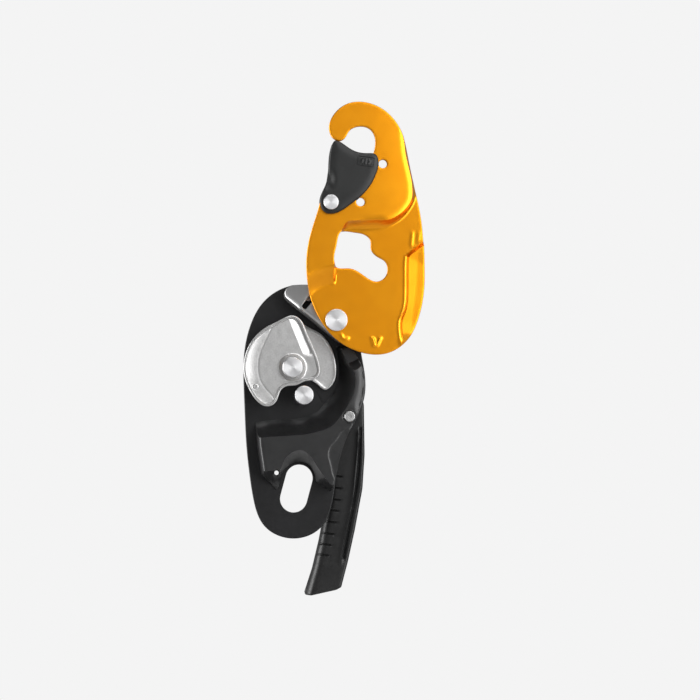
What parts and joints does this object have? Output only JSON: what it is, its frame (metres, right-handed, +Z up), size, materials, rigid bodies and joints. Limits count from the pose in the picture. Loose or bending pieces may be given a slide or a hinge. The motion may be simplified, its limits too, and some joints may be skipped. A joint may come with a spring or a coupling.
{
  "type": "belay device",
  "caption": "Open self-braking belay device: a hooked side plate with a sprung gate swings over a cam that squeezes the rope on a bracket; a rear handle releases it.",
  "frame": {"origin": "centre of the carabiner eye at the fixed side plate's front face", "axes": "+Z up the device from the eye towards the cam and the open side plate; +X right seen from the front; the front faces -Y"},
  "size_m": [0.0986, 0.0474, 0.2692],
  "materials": {
    "gold_anodised": "satin gold anodised sheet",
    "black_anodised": "satin black anodised sheet",
    "guide_nylon": "matt moulded black nylon",
    "gate_nylon": "matt moulded dark grey nylon",
    "handle_nylon": "fine textured black nylon",
    "washer_nylon": "natural nylon",
    "bracket_steel": "brushed stainless sheet",
    "cast_steel": "cast and blasted stainless steel",
    "turned_steel": "turned steel, fine rings",
    "spring_steel": "drawn spring wire",
    "bronze": "plain bearing bronze"
  },
  "bodies": {
    "fixed_side": {"fixed_side_plate": "black_anodised", "rope_guide": "guide_nylon", "rope_guide_screw": "turned_steel", "guide_rear_screws": "turned_steel", "friction_plate": "bracket_steel", "friction_plate_rivets": "turned_steel", "pivot_pin": "turned_steel", "pivot_spacer": "turned_steel", "pivot_washer": "washer_nylon", "guide_pin": "turned_steel", "cam_wear_plate": "black_anodised", "axle_bush": "bronze", "handle_stop_pin": "turned_steel", "cam_spring": "spring_steel"},
    "cam_body": {"cam": "cast_steel", "cam_bush": "bronze", "cam_pin": "turned_steel"},
    "handle_body": {"handle": "handle_nylon", "handle_drive_insert": "turned_steel", "cam_axle": "turned_steel", "axle_washer": "turned_steel", "axle_nut": "turned_steel"},
    "moving_side": {"moving_side_plate": "gold_anodised", "gate_rivet": "turned_steel", "gate_spring": "spring_steel"},
    "gate_body": {"gate": "gate_nylon"}
  },
  "joints": [
    {"name": "side_plate_swing", "type": "hinge", "parent": "fixed_side", "child": "moving_side", "pos_m": [0.0207, 0, 0.0914], "axis": [0, -1, 0], "range_deg": [-10, 175]},
    {"name": "cam_pivot", "type": "hinge", "parent": "fixed_side", "child": "cam_body", "pos_m": [-0.003, 0, 0.0657], "axis": [0, -1, 0], "range_deg": [-15, 25], "stiffness_Nm_per_rad": 0.3},
    {"name": "handle_swing", "type": "hinge", "parent": "fixed_side", "child": "handle_body", "pos_m": [-0.003, 0, 0.0657], "axis": [0, -1, 0], "range_deg": [0, 150]},
    {"name": "gate_swing", "type": "hinge", "parent": "moving_side", "child": "gate_body", "pos_m": [0.0173, 0, 0.155], "axis": [0, -1, 0], "range_deg": [-35, 0], "stiffness_Nm_per_rad": 0.03, "springref_deg": 22.92}
  ]
}
